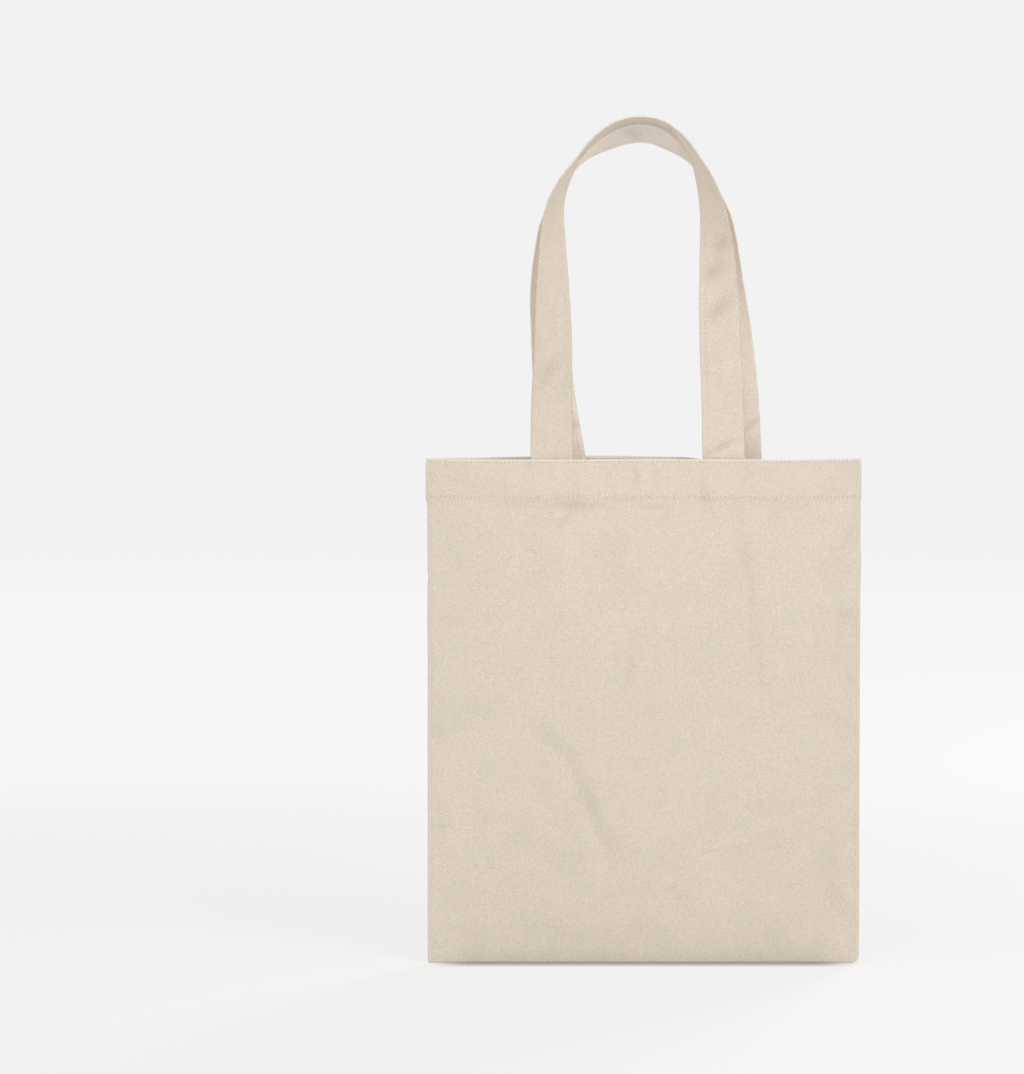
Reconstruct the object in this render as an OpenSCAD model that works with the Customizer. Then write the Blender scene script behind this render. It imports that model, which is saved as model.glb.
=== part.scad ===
// Canvas tote bag, open and upright, with two shoulder handles.
// Millimetres. +Z is up, the front panel faces -Y, and the origin is under the middle of the bottom seam.

/* [Bag] */
// Width across the side seams
body_w = 380; // [320:5:460]
// Height of the rim above the floor
body_h = 445; // [360:5:530]
// Gap across the mouth at its middle, over the outside of the cloth
mouth_gap = 42; // [36:1:60]

/* [Cloth] */
// Thickness of one ply of canvas
ply_t = 0.7; // [0.5:0.05:0.9]
// Thickness of the sewing thread where it lies on the cloth
thread_t = 0.3; // [0.2:0.05:0.4]

/* [Hem] */
// Depth of the hem that is turned in at the mouth
hem_h = 36; // [25:1:50]
// Distance of the upper row of stitches below the rim
rim_row = 2; // [1.5:0.5:5]
// Distance of the lower row of stitches above the hem's raw edge
hem_row = 2.5; // [1.5:0.5:5]

/* [Seams] */
// Width of the seam allowance inside the side and bottom seams
allowance_w = 10; // [6:1:14]
// Height of the folded ridge along the bottom
bottom_fold_h = 3; // [2:0.5:5]
// Distance of the seam's own stitches from the folded edge
seam_row = 2; // [1:0.5:3]

/* [Handles] */
// Width of the strap
strap_w = 37; // [28:1:44]
// Thickness of the folded strap
strap_t = 1.6; // [1.2:0.1:2]
// Height of the front handle above the rim, to the middle of the strap
handle_rise = 295; // [240:1:360]
// Height of the rounded top of the front handle
arch_h = 96; // [80:1:110]
// Distance between the middles of the front handle's two ends
front_spread = 150; // [120:1:180]
// Distance between the middles of the back handle's two ends
back_spread = 155; // [120:1:180]
// Sideways place of the front handle's middle
front_shift = -6; // [-10:1:10]
// Sideways place of the back handle's middle
back_shift = 8; // [-10:1:10]
// Distance of the strap's sewn-in end above the hem's raw edge
strap_stop = 1; // [0:0.5:1]
// Distance of the strap's row of stitches from its inner edge
strap_row = 5; // [3:0.5:8]
// Tilt of the front strap at the top of its arch, in degrees
front_tilt = 8; // [4:1:12]
// Tilt of the back strap at the top of its arch, in degrees
back_tilt = 23; // [10:1:24]

/* [Hidden] */

canvas = [0.86, 0.81, 0.74];
canvas_inside = [0.80, 0.75, 0.67];
cotton_thread = [0.93, 0.89, 0.82];

air = 0.3;            // clearance between pieces that move apart
ply_gap = 0.05;       // clearance between plies that lie together
thread_w = 0.5;       // width of a row of stitches
overlock_t = 0.2;     // thickness of the overlock on each face
overlock_w = 4;       // width of the overlock

half_w = body_w / 2;
edge_y = 2 * ply_t + ply_gap + overlock_t + air;   // outer face of a panel at its side seam
belly = mouth_gap / 2 - edge_y;            // how far the middle of the rim stands out from there
hem_z = body_h - hem_h;
hem_half = half_w - allowance_w - 2;
// The middle of each panel is flat, so that both ends of both handles lie on it.
flat_half = strap_w / 2 + 1 + max(front_spread / 2 + abs(front_shift), back_spread / 2 + abs(back_shift));

facing_o = ply_t + ply_gap;                // depth of the hem's turned-in ply behind the panel's outer face
hem_o = facing_o + ply_t;                  // depth of the hem's inner face
strap_o = hem_o + ply_gap;                 // depth of the strap's near face
strap_back_o = strap_o + strap_t;          // depth of the strap's far face

side_steps = 7;       // facets from the flat middle to the hem's end
wall_steps = 9;       // facets from the bottom fold to the hem
leg_steps = 9;        // facets along each leg of a handle
arch_steps = 20;      // facets round the top of a handle

// ---- the panels' shape ----

// 1 on the flat middle, falling to 0 at the side seam
function across(x) = abs(x) <= flat_half ? 1 : 1 - pow((abs(x) - flat_half) / (half_w - flat_half), 2);
// 0 at the bottom fold, rising to 1 at the rim
function upward(z) = 1 - pow(1 - (z - bottom_fold_h) / (body_h - bottom_fold_h), 2);
// Distance of a panel's outer face from the middle of the bag
function face(x, z) = edge_y + belly * across(x) * upward(z);

function steps(a, b, n) = [for (k = [0:n]) a + (b - a) * k / n];
function mirrored(list) = concat([for (k = [len(list) - 1:-1:0]) -list[k]], list);

hem_columns = mirrored(steps(flat_half, hem_half, side_steps));
panel_columns = concat([-half_w], hem_columns, [half_w]);
hem_rows = steps(hem_z, body_h, 2);
panel_bottom = bottom_fold_h + air;
panel_rows = concat([for (z = steps(panel_bottom, hem_z, wall_steps)) if (z < hem_z - 1) z], hem_rows);

// A closed sheet that follows the front panel, from depth o0 to depth o1 behind its outer face
module ply(columns, rows, o0, o1) {
    nx = len(columns);
    nz = len(rows);
    inner = nx * nz;
    points = [
        for (o = [o0, o1], z = rows, x = columns) [x, o - face(x, z), z]
    ];
    function at(i, j) = i + j * nx;
    skins = [
        for (i = [0:nx - 2], j = [0:nz - 2]) each [
            [at(i, j), at(i, j + 1), at(i + 1, j + 1)],
            [at(i, j), at(i + 1, j + 1), at(i + 1, j)],
            [inner + at(i, j), inner + at(i + 1, j + 1), inner + at(i, j + 1)],
            [inner + at(i, j), inner + at(i + 1, j), inner + at(i + 1, j + 1)]
        ]
    ];
    ends = [
        for (i = [0:nx - 2]) each [
            [at(i, 0), at(i + 1, 0), inner + at(i + 1, 0), inner + at(i, 0)],
            [at(i, nz - 1), inner + at(i, nz - 1), inner + at(i + 1, nz - 1), at(i + 1, nz - 1)]
        ]
    ];
    sides = [
        for (j = [0:nz - 2]) each [
            [at(0, j), inner + at(0, j), inner + at(0, j + 1), at(0, j + 1)],
            [at(nx - 1, j), at(nx - 1, j + 1), inner + at(nx - 1, j + 1), inner + at(nx - 1, j)]
        ]
    ];
    polyhedron(points, concat(skins, ends, sides));
}

module panel() {
    color(canvas) ply(panel_columns, panel_rows, 0, ply_t);
}

// The ply that is turned in at the mouth
module hem() {
    color(canvas_inside) ply(hem_columns, hem_rows, facing_o, hem_o);
}

// One row of stitches: its outer run, and its inner run, which steps over the two strap ends
module thread_row(z, spread, shift) {
    rows = [z - thread_w / 2, z + thread_w / 2];
    left = shift - spread / 2;
    right = shift + spread / 2;
    reach = strap_w / 2 + thread_t;
    left_part = concat([for (x = hem_columns) if (x < left - reach) x], [left - reach]);
    right_part = concat([right + reach], [for (x = hem_columns) if (x > right + reach) x]);
    color(cotton_thread) {
        ply(hem_columns, rows, -ply_gap - thread_t, -ply_gap);
        for (part = [left_part, [left + reach, right - reach], right_part])
            ply(part, rows, hem_o + ply_gap, hem_o + ply_gap + thread_t);
        for (x = [left, right])
            ply([x - strap_w / 2, x + strap_w / 2], rows,
                strap_back_o + ply_gap, strap_back_o + ply_gap + thread_t);
    }
}

// One end of a strap, laid on the inside of the hem
module strap_end(x) {
    color(canvas) ply([x - strap_w / 2, x + strap_w / 2], [hem_z + strap_stop, body_h],
        strap_o, strap_back_o);
}

module back() {
    mirror([0, 1, 0]) children();
}

// ---- the seams ----

// The folded ridge that the bag stands on, and the allowance above it
module bottom_seam() {
    inner_half = half_w - allowance_w - ply_gap;
    color(canvas) {
        translate([-half_w, -edge_y, 0]) cube([body_w, 2 * edge_y, bottom_fold_h]);
        translate([-inner_half, -ply_t, bottom_fold_h])
            cube([2 * inner_half, 2 * ply_t, allowance_w]);
    }
}

// The two plies of allowance inside the right side seam
module side_seam() {
    color(canvas_inside) translate([half_w - allowance_w, -ply_t, bottom_fold_h])
        cube([allowance_w, 2 * ply_t, body_h - bottom_fold_h]);
}

// A pair of thin bars, one on each face of the allowance
module on_both_faces(x, z, size_x, size_z, thick) {
    for (y = [-ply_t - ply_gap - thick, ply_t + ply_gap])
        translate([x, y, z]) cube([size_x, thick, size_z]);
}

module bottom_seam_thread() {
    color(cotton_thread) on_both_faces(-half_w + allowance_w + 1, bottom_fold_h + seam_row,
        body_w - 2 * allowance_w - 2, thread_w, overlock_t);
}

module side_seam_thread() {
    color(cotton_thread) on_both_faces(half_w - seam_row - thread_w, bottom_fold_h + allowance_w,
        thread_w, body_h - bottom_fold_h - allowance_w - 1, overlock_t);
}

module bottom_overlock() {
    color(cotton_thread) on_both_faces(-half_w + allowance_w + 1,
        bottom_fold_h + allowance_w - overlock_w, body_w - 2 * allowance_w - 2, overlock_w, overlock_t);
}

module side_overlock() {
    color(cotton_thread) on_both_faces(half_w - allowance_w, bottom_fold_h + allowance_w + 1,
        overlock_w, body_h - bottom_fold_h - allowance_w - 2, overlock_t);
}

// ---- the handles ----

root_z = body_h + air;
root_y = mouth_gap / 2 - strap_o - strap_t / 2;
front_lean = -3;                           // how far the front arch leans off the middle of its ends
back_lean = -13;                           // how far the back arch leans off the middle of its ends
splay = 8;                                 // how far apart the back shoulders stand beyond the front's, on each side
shoulder_y = max(root_y, strap_w / 2 + 0.5);
crown_gap = 0.8;                           // gap between the two straps at the top
shoulder_angle = 40;                       // where the strap has turned edge-on, up the arch
left_ease = 1.2;                           // how late the left leg twists
right_ease = 2.2;                          // how late the right leg twists
front_half = front_spread / 2 - 4;
back_half = front_half + splay;
crown_lap = 0.8;                           // how far the back strap's near edge rises behind the front strap
// The back strap passes under the front one.
back_drop = strap_w / 2 * (sin(front_tilt) + sin(back_tilt)) + strap_t - crown_lap;
leg_h = handle_rise - arch_h;

// What one handle is made from:
// [side, spread, shift, half width of the arch, height of the arch, tilt, sideways place of the arch]
front_loop = [-1, front_spread, front_shift, front_half, arch_h, front_tilt, front_shift + front_lean];
back_loop = [1, back_spread, back_shift, back_half, arch_h - back_drop, back_tilt, back_shift + back_lean];

// Middle of the strap in the plane of the handle, at station q: legs, then the arch, then the other leg
function middle(loop, q) =
    let (
        in_leg = q < leg_steps,
        in_arch = q >= leg_steps && q <= leg_steps + arch_steps,
        up = in_leg ? q / leg_steps : (2 * leg_steps + arch_steps - q) / leg_steps,
        t = 180 * (q - leg_steps) / arch_steps,
        sgn = in_leg ? -1 : 1,
        root_x = loop[2] + sgn * loop[1] / 2,
        arch_x = loop[6] + sgn * loop[3]
    )
    in_arch
        ? [loop[6] - loop[3] * cos(t), root_z + leg_h - air + loop[4] * sin(t)]
        : [root_x + (arch_x - root_x) * up, root_z + (leg_h - air) * up];

// How far the strap has turned edge-on, from 0 at the rim to 1 at the shoulder
function climb(loop, q) =
    let (top = leg_h + loop[4] * sin(shoulder_angle), z = middle(loop, q)[1])
    min(1, max(0, (z - root_z) / top));

function twist(loop, q) =
    let (ease = q < leg_steps + arch_steps / 2 ? left_ease : right_ease)
    (90 - loop[5]) * pow(climb(loop, q), ease);

// Distance of the strap's middle from the middle of the bag
function stand_off(loop, q) =
    let (
        c = climb(loop, q),
        t = 180 * (q - leg_steps) / arch_steps,
        crown = t > 0 && t < 180 ? pow(sin(t), 8) : 0,
        top_y = strap_w / 2 * cos(loop[5]) + (strap_t * sin(loop[5]) + crown_gap) / 2,
        leg_y = root_y + (shoulder_y - root_y) * c
    )
    loop[0] * (leg_y + (top_y - leg_y) * crown);

function unit(v) = v / norm(v);

// A frame on the strap at station q: [middle, direction of its outer edge, direction of its thickness]
function strap_frame(loop, q) =
    let (
        last = 2 * leg_steps + arch_steps,
        a = middle(loop, max(0, q - 0.5)),
        b = middle(loop, min(last, q + 0.5)),
        flat_end = q == 0 || q == last,
        along = flat_end ? [0, q == 0 ? 1 : -1] : unit(b - a),
        out = [-along[1], along[0]],
        m = middle(loop, q),
        tau = twist(loop, q),
        wide = [out[0] * cos(tau), -sin(tau), out[1] * cos(tau)]
    )
    [[m[0], stand_off(loop, q), m[1]], wide, cross([along[0], 0, along[1]], wide)];

// A strip along the whole handle, with its edges and inner lines at ws across the strap, and n0 to n1 through it
module strip(loop, ws, n0, n1) {
    last = 2 * leg_steps + arch_steps;
    m = len(ws);
    section = concat([for (w = ws) [w, n0]], [for (k = [m - 1:-1:0]) [ws[k], n1]]);
    points = [
        for (q = [0:last])
            let (f = strap_frame(loop, q))
            for (c = section) f[0] + c[0] * f[1] + c[1] * f[2]
    ];
    walls = [
        for (q = [0:last - 1], k = [0:2 * m - 1])
            let (a = 2 * m * q + k, b = 2 * m * q + (k + 1) % (2 * m))
            each [[a, a + 2 * m, b + 2 * m], [a, b + 2 * m, b]]
    ];
    caps = [
        for (k = [0:m - 2])
            let (r = 2 * m - 1, z = 2 * m * last)
            each [[k, k + 1, r - k - 1, r - k], [z + r - k, z + r - k - 1, z + k + 1, z + k]]
    ];
    polyhedron(points, concat(walls, caps));
}

strap_row_w = -strap_w / 2 + strap_row;
row_edges = [strap_row_w - thread_w / 2, strap_row_w + thread_w / 2];

module handle(loop) {
    color(canvas) strip(loop, concat([-strap_w / 2], row_edges, [strap_w / 2]), -strap_t / 2, strap_t / 2);
}

// The row of stitches along the strap's inner edge, on both faces
module handle_thread(loop) {
    near = strap_t / 2 + 2 * ply_gap;
    color(cotton_thread) {
        strip(loop, row_edges, near, near + thread_t);
        strip(loop, row_edges, -near - thread_t, -near);
    }
}

panel();  // front_panel
hem();  // front_hem
thread_row(body_h - rim_row, front_spread, front_shift);  // front_rim_thread
thread_row(hem_z + hem_row, front_spread, front_shift);  // front_hem_thread
strap_end(front_shift - front_spread / 2);  // front_left_strap_end
strap_end(front_shift + front_spread / 2);  // front_right_strap_end
back() panel();  // back_panel
back() hem();  // back_hem
back() thread_row(body_h - rim_row, back_spread, back_shift);  // back_rim_thread
back() thread_row(hem_z + hem_row, back_spread, back_shift);  // back_hem_thread
back() strap_end(back_shift - back_spread / 2);  // back_left_strap_end
back() strap_end(back_shift + back_spread / 2);  // back_right_strap_end
bottom_seam();
mirror([1, 0, 0]) side_seam();  // left_side_seam
side_seam();  // right_side_seam
bottom_seam_thread();
mirror([1, 0, 0]) side_seam_thread();  // left_seam_thread
side_seam_thread();  // right_seam_thread
bottom_overlock();
mirror([1, 0, 0]) side_overlock();  // left_overlock
side_overlock();  // right_overlock
handle(front_loop);  // front_handle
handle_thread(front_loop);  // front_handle_thread
handle(back_loop);  // back_handle
handle_thread(back_loop);  // back_handle_thread
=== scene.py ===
import math
import random

import bmesh
import bpy
from mathutils import Matrix, Vector, noise


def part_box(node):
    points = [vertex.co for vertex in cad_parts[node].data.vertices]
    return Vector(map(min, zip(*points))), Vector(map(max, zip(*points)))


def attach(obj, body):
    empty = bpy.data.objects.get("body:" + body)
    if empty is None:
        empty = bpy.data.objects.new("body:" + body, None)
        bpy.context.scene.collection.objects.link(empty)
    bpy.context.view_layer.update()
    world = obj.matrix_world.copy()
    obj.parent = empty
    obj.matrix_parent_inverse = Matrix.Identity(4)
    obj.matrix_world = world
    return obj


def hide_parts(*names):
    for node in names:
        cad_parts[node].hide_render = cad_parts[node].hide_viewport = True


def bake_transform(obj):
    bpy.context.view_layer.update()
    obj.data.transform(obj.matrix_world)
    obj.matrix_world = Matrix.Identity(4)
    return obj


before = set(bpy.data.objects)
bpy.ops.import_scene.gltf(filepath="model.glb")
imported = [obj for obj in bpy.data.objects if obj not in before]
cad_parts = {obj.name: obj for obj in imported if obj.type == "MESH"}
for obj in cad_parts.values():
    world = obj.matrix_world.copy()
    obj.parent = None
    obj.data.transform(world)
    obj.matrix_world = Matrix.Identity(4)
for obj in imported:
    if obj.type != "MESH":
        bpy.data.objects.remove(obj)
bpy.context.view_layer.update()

MM = 0.001

# ---- sizes shared by the pieces, in metres ----

HALF_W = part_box("bottom_seam")[1][0]
RIM_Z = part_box("front_panel")[1][2]
HEM_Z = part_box("front_hem")[0][2]
MOUTH_HALF = -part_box("front_panel")[0][1]
EDGE_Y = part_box("bottom_seam")[1][1]
STRAP_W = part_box("front_left_strap_end")[1][0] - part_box("front_left_strap_end")[0][0]
STRAP_END_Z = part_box("front_left_strap_end")[0][2]
FOLD_Z = 3 * MM                     # top of the bottom fold
PLY = 0.7 * MM                      # one layer of canvas
HEM_T = 1.45 * MM                   # the cloth and its turned-in hem
STRAP_T = 1.6 * MM
STRAP_DEPTH = 1.5 * MM              # from the panel's face to the strap inside the hem
FLAT_HALF = 105 * MM                # a panel is flat this far out, then curves in to its side seams
BELLY = MOUTH_HALF - EDGE_Y         # how far a panel swells out between its seams and the rim
ROLL = 2.4 * MM                     # the cloth rounds in to its seams over this distance
TURN = 2.2 * MM                     # cloth taken up by the fold at the rim
STITCH = 3.7 * MM
STRAP_ROW = -STRAP_W / 2 + 5 * MM   # where the strap's row of stitches runs, across the strap

# the two rows of stitches in the hem
HEM_ROW_Z = HEM_Z + 2.5 * MM
RIM_ROW_Z = RIM_Z - 2.4 * MM
HEM_STITCH_HALF = HALF_W - 5 * MM   # half the length of a row
HEM_STITCHES = round(2 * HEM_STITCH_HALF / STITCH)
HEM_STITCH = 2 * HEM_STITCH_HALF / HEM_STITCHES
# along the cloth: the rows on its outside, then the same rows on the inside, past the rim
SEWN_ROWS = [HEM_ROW_Z, RIM_ROW_Z, 2 * RIM_Z + TURN - HEM_ROW_Z, 2 * RIM_Z + TURN - RIM_ROW_Z]

OUTWARD = {"front": -1, "back": 1}  # the way each panel faces along y
LUMPS = {"front": 1, "back": 4}     # seeds of each panel's unevenness


def ends_x(side):
    """The middles of the two strap ends on one side of the bag."""
    boxes = [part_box(f"{side}_{hand}_strap_end") for hand in ("left", "right")]
    return [(low[0] + high[0]) / 2 for low, high in boxes]


# ---- small tools for numbers ----

def ease(low, high, value):
    """0 below low, 1 above high and a smooth curve between."""
    t = min(1, max(0, (value - low) / (high - low)))
    return t * t * (3 - 2 * t)


def bell(distance, width):
    return math.exp(-(distance / width) ** 2)


def even(low, high, step):
    """Evenly spaced numbers from low to high, no further apart than step."""
    count = max(1, math.ceil(abs(high - low) / step - 1e-6))
    return [low + (high - low) * k / count for k in range(count + 1)]


def joined(*lists):
    """Lists of numbers end to end, without the repeated ends."""
    out = list(lists[0])
    for more in lists[1:]:
        out += more[1:]
    return out


def through(places, values, at):
    """The height at one place of a smooth curve through the values at those places."""
    last = len(places) - 1
    at = min(places[-1], max(places[0], at))
    k = max(i for i in range(last) if places[i] <= at)

    def slope(i):
        a, b = max(0, i - 1), min(last, i + 1)
        return (values[b] - values[a]) / (places[b] - places[a])

    step = places[k + 1] - places[k]
    t = (at - places[k]) / step
    up = t * t * (3 - 2 * t)
    bend = t * (1 - t) ** 2 * slope(k) - t * t * (1 - t) * slope(k + 1)
    return values[k] * (1 - up) + values[k + 1] * up + bend * step


def ripple(x, z, size, seed):
    """Smooth noise between -1 and 1 with lumps about that size."""
    return noise.noise(Vector((x / size, z / size, seed * 7.31)))


# ---- mesh tools ----

def lattice(columns, rows, place):
    """A bmesh sheet; place(column, row) gives a point, its spot on the cloth and perhaps how dark it is."""
    sheet = bmesh.new()
    bmesh.ops.create_grid(sheet, x_segments=len(columns) - 1, y_segments=len(rows) - 1, size=1)
    layer = sheet.loops.layers.uv.new("cloth")
    shade = sheet.verts.layers.float.new("shade")
    spots = {}
    for v in sheet.verts:
        i = round((v.co.x + 1) / 2 * (len(columns) - 1))
        j = round((v.co.y + 1) / 2 * (len(rows) - 1))
        spots[v.index] = place(columns[i], rows[j])
    for face in sheet.faces:
        for loop in face.loops:
            loop[layer].uv = spots[loop.vert.index][1]
    for v in sheet.verts:
        v.co, _, v[shade] = (*spots[v.index], 0.0)[:3]
    return sheet


def face_towards(sheet, way, sample=0):
    """Turns every face over if the sample face looks away from that way."""
    sheet.normal_update()
    sheet.faces.ensure_lookup_table()
    if sheet.faces[sample].normal.dot(Vector(way)) < 0:
        bmesh.ops.reverse_faces(sheet, faces=sheet.faces)


def piece(name, sheet, material, thickness=None):
    """Makes a finished object of a bmesh."""
    mesh = bpy.data.meshes.new(name)
    sheet.to_mesh(mesh)
    sheet.free()
    for face in mesh.polygons:
        face.use_smooth = True
    obj = bpy.data.objects.new(name, mesh)
    bpy.context.scene.collection.objects.link(obj)
    mesh.materials.append(material)
    if thickness:
        ply = obj.modifiers.new("ply", "SOLIDIFY")
        ply.thickness = thickness
        ply.offset = -1
        ply.use_even_offset = False
    return obj


def add_stitch(bm, middle, along, up, length, width, height):
    """Adds one stitch: a small plump seed shape lying along the row."""
    x = along.normalized()
    z = (up - up.dot(x) * x).normalized()
    y = z.cross(x)
    turn = Matrix((x, y, z)).transposed().to_4x4()
    size = Matrix.Diagonal((length / 2, width / 2, height / 2, 1))
    bmesh.ops.create_icosphere(bm, subdivisions=1, radius=1, matrix=Matrix.Translation(middle) @ turn @ size)


SLANT = 0.05    # how far the stitches of a row lean to one side


def stitch_row(bm, track, up_at, rng, pitch=STITCH, width=0.62 * MM, height=0.5 * MM):
    """Stitches along a track of points; up_at gives the way the cloth faces at each."""
    lengths = [0]
    for a, b in zip(track, track[1:]):
        lengths.append(lengths[-1] + (b - a).length)
    count = max(1, round(lengths[-1] / pitch))
    step = lengths[-1] / count
    k = 0
    for n in range(count):
        target = (n + 0.5) * step
        while lengths[k + 1] < target:
            k += 1
        t = (target - lengths[k]) / (lengths[k + 1] - lengths[k])
        middle = track[k].lerp(track[k + 1], t)
        along = (track[k + 1] - track[k]).normalized()
        up = up_at(k)
        side = up.cross(along)
        along = along + side * rng.uniform(-SLANT, SLANT) + side * SLANT
        length = step * rng.uniform(0.84, 0.9)
        add_stitch(bm, middle, along, up, length, width * rng.uniform(0.9, 1.1), height)


# ---- shader tools ----

class Wire:
    """A shader value; Python's operators on it add Math nodes."""

    def __init__(self, tree, socket):
        self.tree = tree
        self.socket = socket

    def math(self, operation, *values):
        node = self.tree.nodes.new("ShaderNodeMath")
        node.operation = operation
        for place, value in zip(node.inputs, values):
            if isinstance(value, Wire):
                self.tree.links.new(value.socket, place)
            else:
                place.default_value = value
        return Wire(self.tree, node.outputs[0])

    def __add__(self, other):
        return self.math("ADD", self, other)

    def __radd__(self, other):
        return self.math("ADD", other, self)

    def __sub__(self, other):
        return self.math("SUBTRACT", self, other)

    def __rsub__(self, other):
        return self.math("SUBTRACT", other, self)

    def __mul__(self, other):
        return self.math("MULTIPLY", self, other)

    def __rmul__(self, other):
        return self.math("MULTIPLY", other, self)

    def __truediv__(self, other):
        return self.math("DIVIDE", self, other)

    def __rtruediv__(self, other):
        return self.math("DIVIDE", other, self)

    def sine(self):
        return self.math("SINE", self)

    def cosine(self):
        return self.math("COSINE", self)

    def size(self):
        return self.math("ABSOLUTE", self)

    def floor(self):
        return self.math("FLOOR", self)

    def at_least(self, other):
        return self.math("MAXIMUM", self, other)


UV, OBJECT = 2, 3       # outputs of the texture coordinate node
COLOUR = 1              # the colour a scattered-points node gives each point
FACTOR = 2              # the plain number of an attribute node
MIX_INPUTS = (0, 6, 7)  # the amount, first colour and second colour of a mix node
MIX_COLOUR = 2          # and its mixed colour


class Finish:
    """One material and the nodes that make it."""

    def __init__(self, name, roughness, sheen=0.0):
        self.material = bpy.data.materials.new(name)
        self.material.use_nodes = True
        self.tree = self.material.node_tree
        self.shader = self.tree.nodes["Principled BSDF"]
        self.fill(self.shader.inputs["Roughness"], roughness)
        self.fill(self.shader.inputs["Specular IOR Level"], 0.25)
        self.fill(self.shader.inputs["Sheen Weight"], sheen)
        self.fill(self.shader.inputs["Sheen Roughness"], 0.6)

    def node(self, kind, values=None, settings=None, output=0):
        """Adds a node, gives it its settings, then its values and links, and returns one of its outputs."""
        made = self.tree.nodes.new(kind)
        for key, value in (settings or {}).items():
            setattr(made, key, value)
        for key, value in (values or {}).items():
            self.fill(made.inputs[key], value)
        return Wire(self.tree, made.outputs[output])

    def fill(self, place, value):
        """Links a wire to a socket, or sets it to a plain value; a plain colour may leave out its alpha."""
        if isinstance(value, Wire):
            self.tree.links.new(value.socket, place)
        elif place.type == "RGBA":
            place.default_value = (*value, 1)
        else:
            place.default_value = value

    def vector(self, x, y, z=0.0):
        return self.node("ShaderNodeCombineXYZ", {"X": x, "Y": y, "Z": z})

    def across_and_up(self, where):
        """The first two numbers of a place."""
        return [self.node("ShaderNodeSeparateXYZ", {"Vector": where}, output=k) for k in (0, 1)]

    def noise(self, where, scale, detail=2.0, rough=0.5):
        """Noise from 0 to 1."""
        values = {"Vector": where, "Scale": scale, "Detail": detail, "Roughness": rough}
        return self.node("ShaderNodeTexNoise", values)

    def cells(self, where):
        """The distance to the nearest of many scattered points, and a random number for each point."""
        near = self.node("ShaderNodeTexVoronoi", {"Vector": where, "Scale": 1.0})
        colour = self.node("ShaderNodeTexVoronoi", {"Vector": where, "Scale": 1.0}, output=COLOUR)
        return near, self.node("ShaderNodeSeparateColor", {"Color": colour})

    def span(self, value, low, high, new_low=0.0, new_high=1.0):
        """Maps low to high onto new_low to new_high with a smooth curve."""
        values = {"Value": value, "From Min": low, "From Max": high, "To Min": new_low, "To Max": new_high}
        return self.node("ShaderNodeMapRange", values, {"interpolation_type": "SMOOTHSTEP"})

    def blend(self, amount, first, second):
        """A colour between first and second."""
        values = dict(zip(MIX_INPUTS, (amount, first, second)))
        return self.node("ShaderNodeMix", values, {"data_type": "RGBA"}, MIX_COLOUR)

    def paint(self, colour):
        self.fill(self.shader.inputs["Base Color"], colour)

    def emboss(self, height, depth):
        """Raises the surface by height, from 0 to 1, times depth."""
        normal = self.node("ShaderNodeBump", {"Height": height, "Distance": depth, "Strength": 1.0})
        self.fill(self.shader.inputs["Normal"], normal)


def scaled(colour, factor):
    return tuple(c * factor for c in colour)


# ---- colours and cloth ----

CANVAS = (0.705, 0.617, 0.517)
FRONT_STRAP = scaled(CANVAS, 0.98)
# painted light: a paler copy of the canvas, so that the back strap, which lies in more shade, shows as light
# as the front one
PAINTED_PALER_STRAP = (0.855, 0.765, 0.66)
THREAD = (0.82, 0.74, 0.64)
SEED_HUSK = (0.23, 0.16, 0.10)
# the colour that a painted highlight lightens the cloth towards
PAINTED_HIGHLIGHT = (0.97, 0.93, 0.86)
YARN_PITCH = 0.72 * MM
WEAVE_DEPTH = 0.12 * MM
STREAKS = 0.12          # how much one yarn differs from the next
BAR_PITCH = 16.4 * MM   # faint bars along the weft
FIBRE_DEPTH = 0.06 * MM


def needle_hole_shade(f, u, v, rows):
    """Painted shade: small dark dots in the needle holes between the stitches of each row."""
    between = f.span(((u + HEM_STITCH_HALF) / HEM_STITCH * (2 * math.pi)).cosine(), 0.35, 0.9)
    near = [f.span((v - row).size(), 0.35 * MM, 0.9 * MM, 1.0, 0.0) for row in rows]
    return between * sum(near[1:], near[0])


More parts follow.
